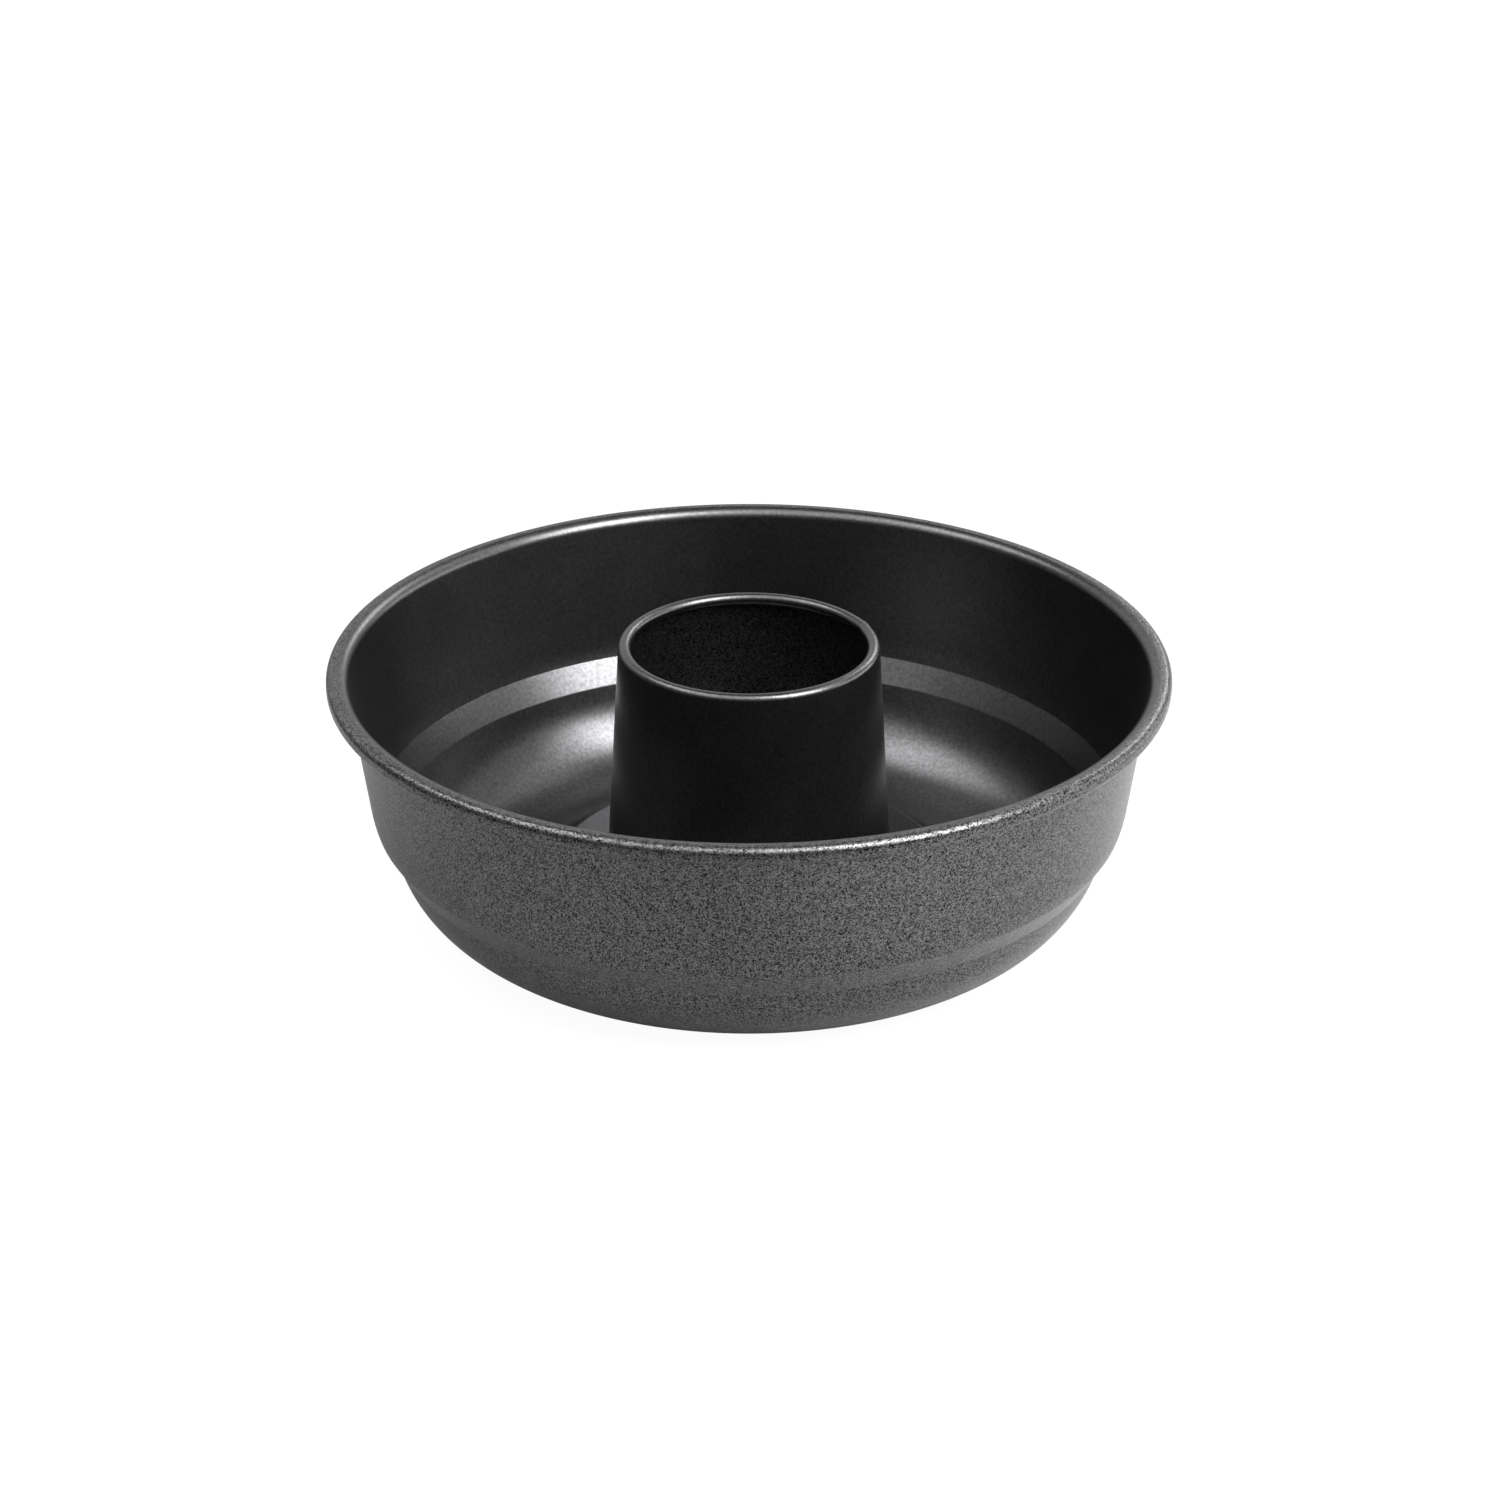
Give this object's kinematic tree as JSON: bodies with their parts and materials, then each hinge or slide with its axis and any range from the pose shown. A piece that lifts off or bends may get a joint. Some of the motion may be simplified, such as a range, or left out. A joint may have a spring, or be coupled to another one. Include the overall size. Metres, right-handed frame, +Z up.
{
  "type": "ring cake pan",
  "caption": "Round steel ring cake pan with a stepped, tapered wall, a thick rolled rim and a hollow centre tube locked into its raised floor.",
  "frame": {"origin": "on the table at the middle of the pan, under the tube's axis", "axes": "+Z up along the tube's axis, out of the pan's mouth; +X and +Y across the pan, which is round"},
  "size_m": [0.26, 0.26, 0.087],
  "materials": {
    "body_coating": "dark grey baked coating with a fine metallic grain outside, smooth satin inside",
    "tube_coating": "smooth near-black satin non-stick coating"
  },
  "bodies": {
    "root": {"pan_body": "body_coating", "centre_tube": "tube_coating"}
  },
  "joints": []
}
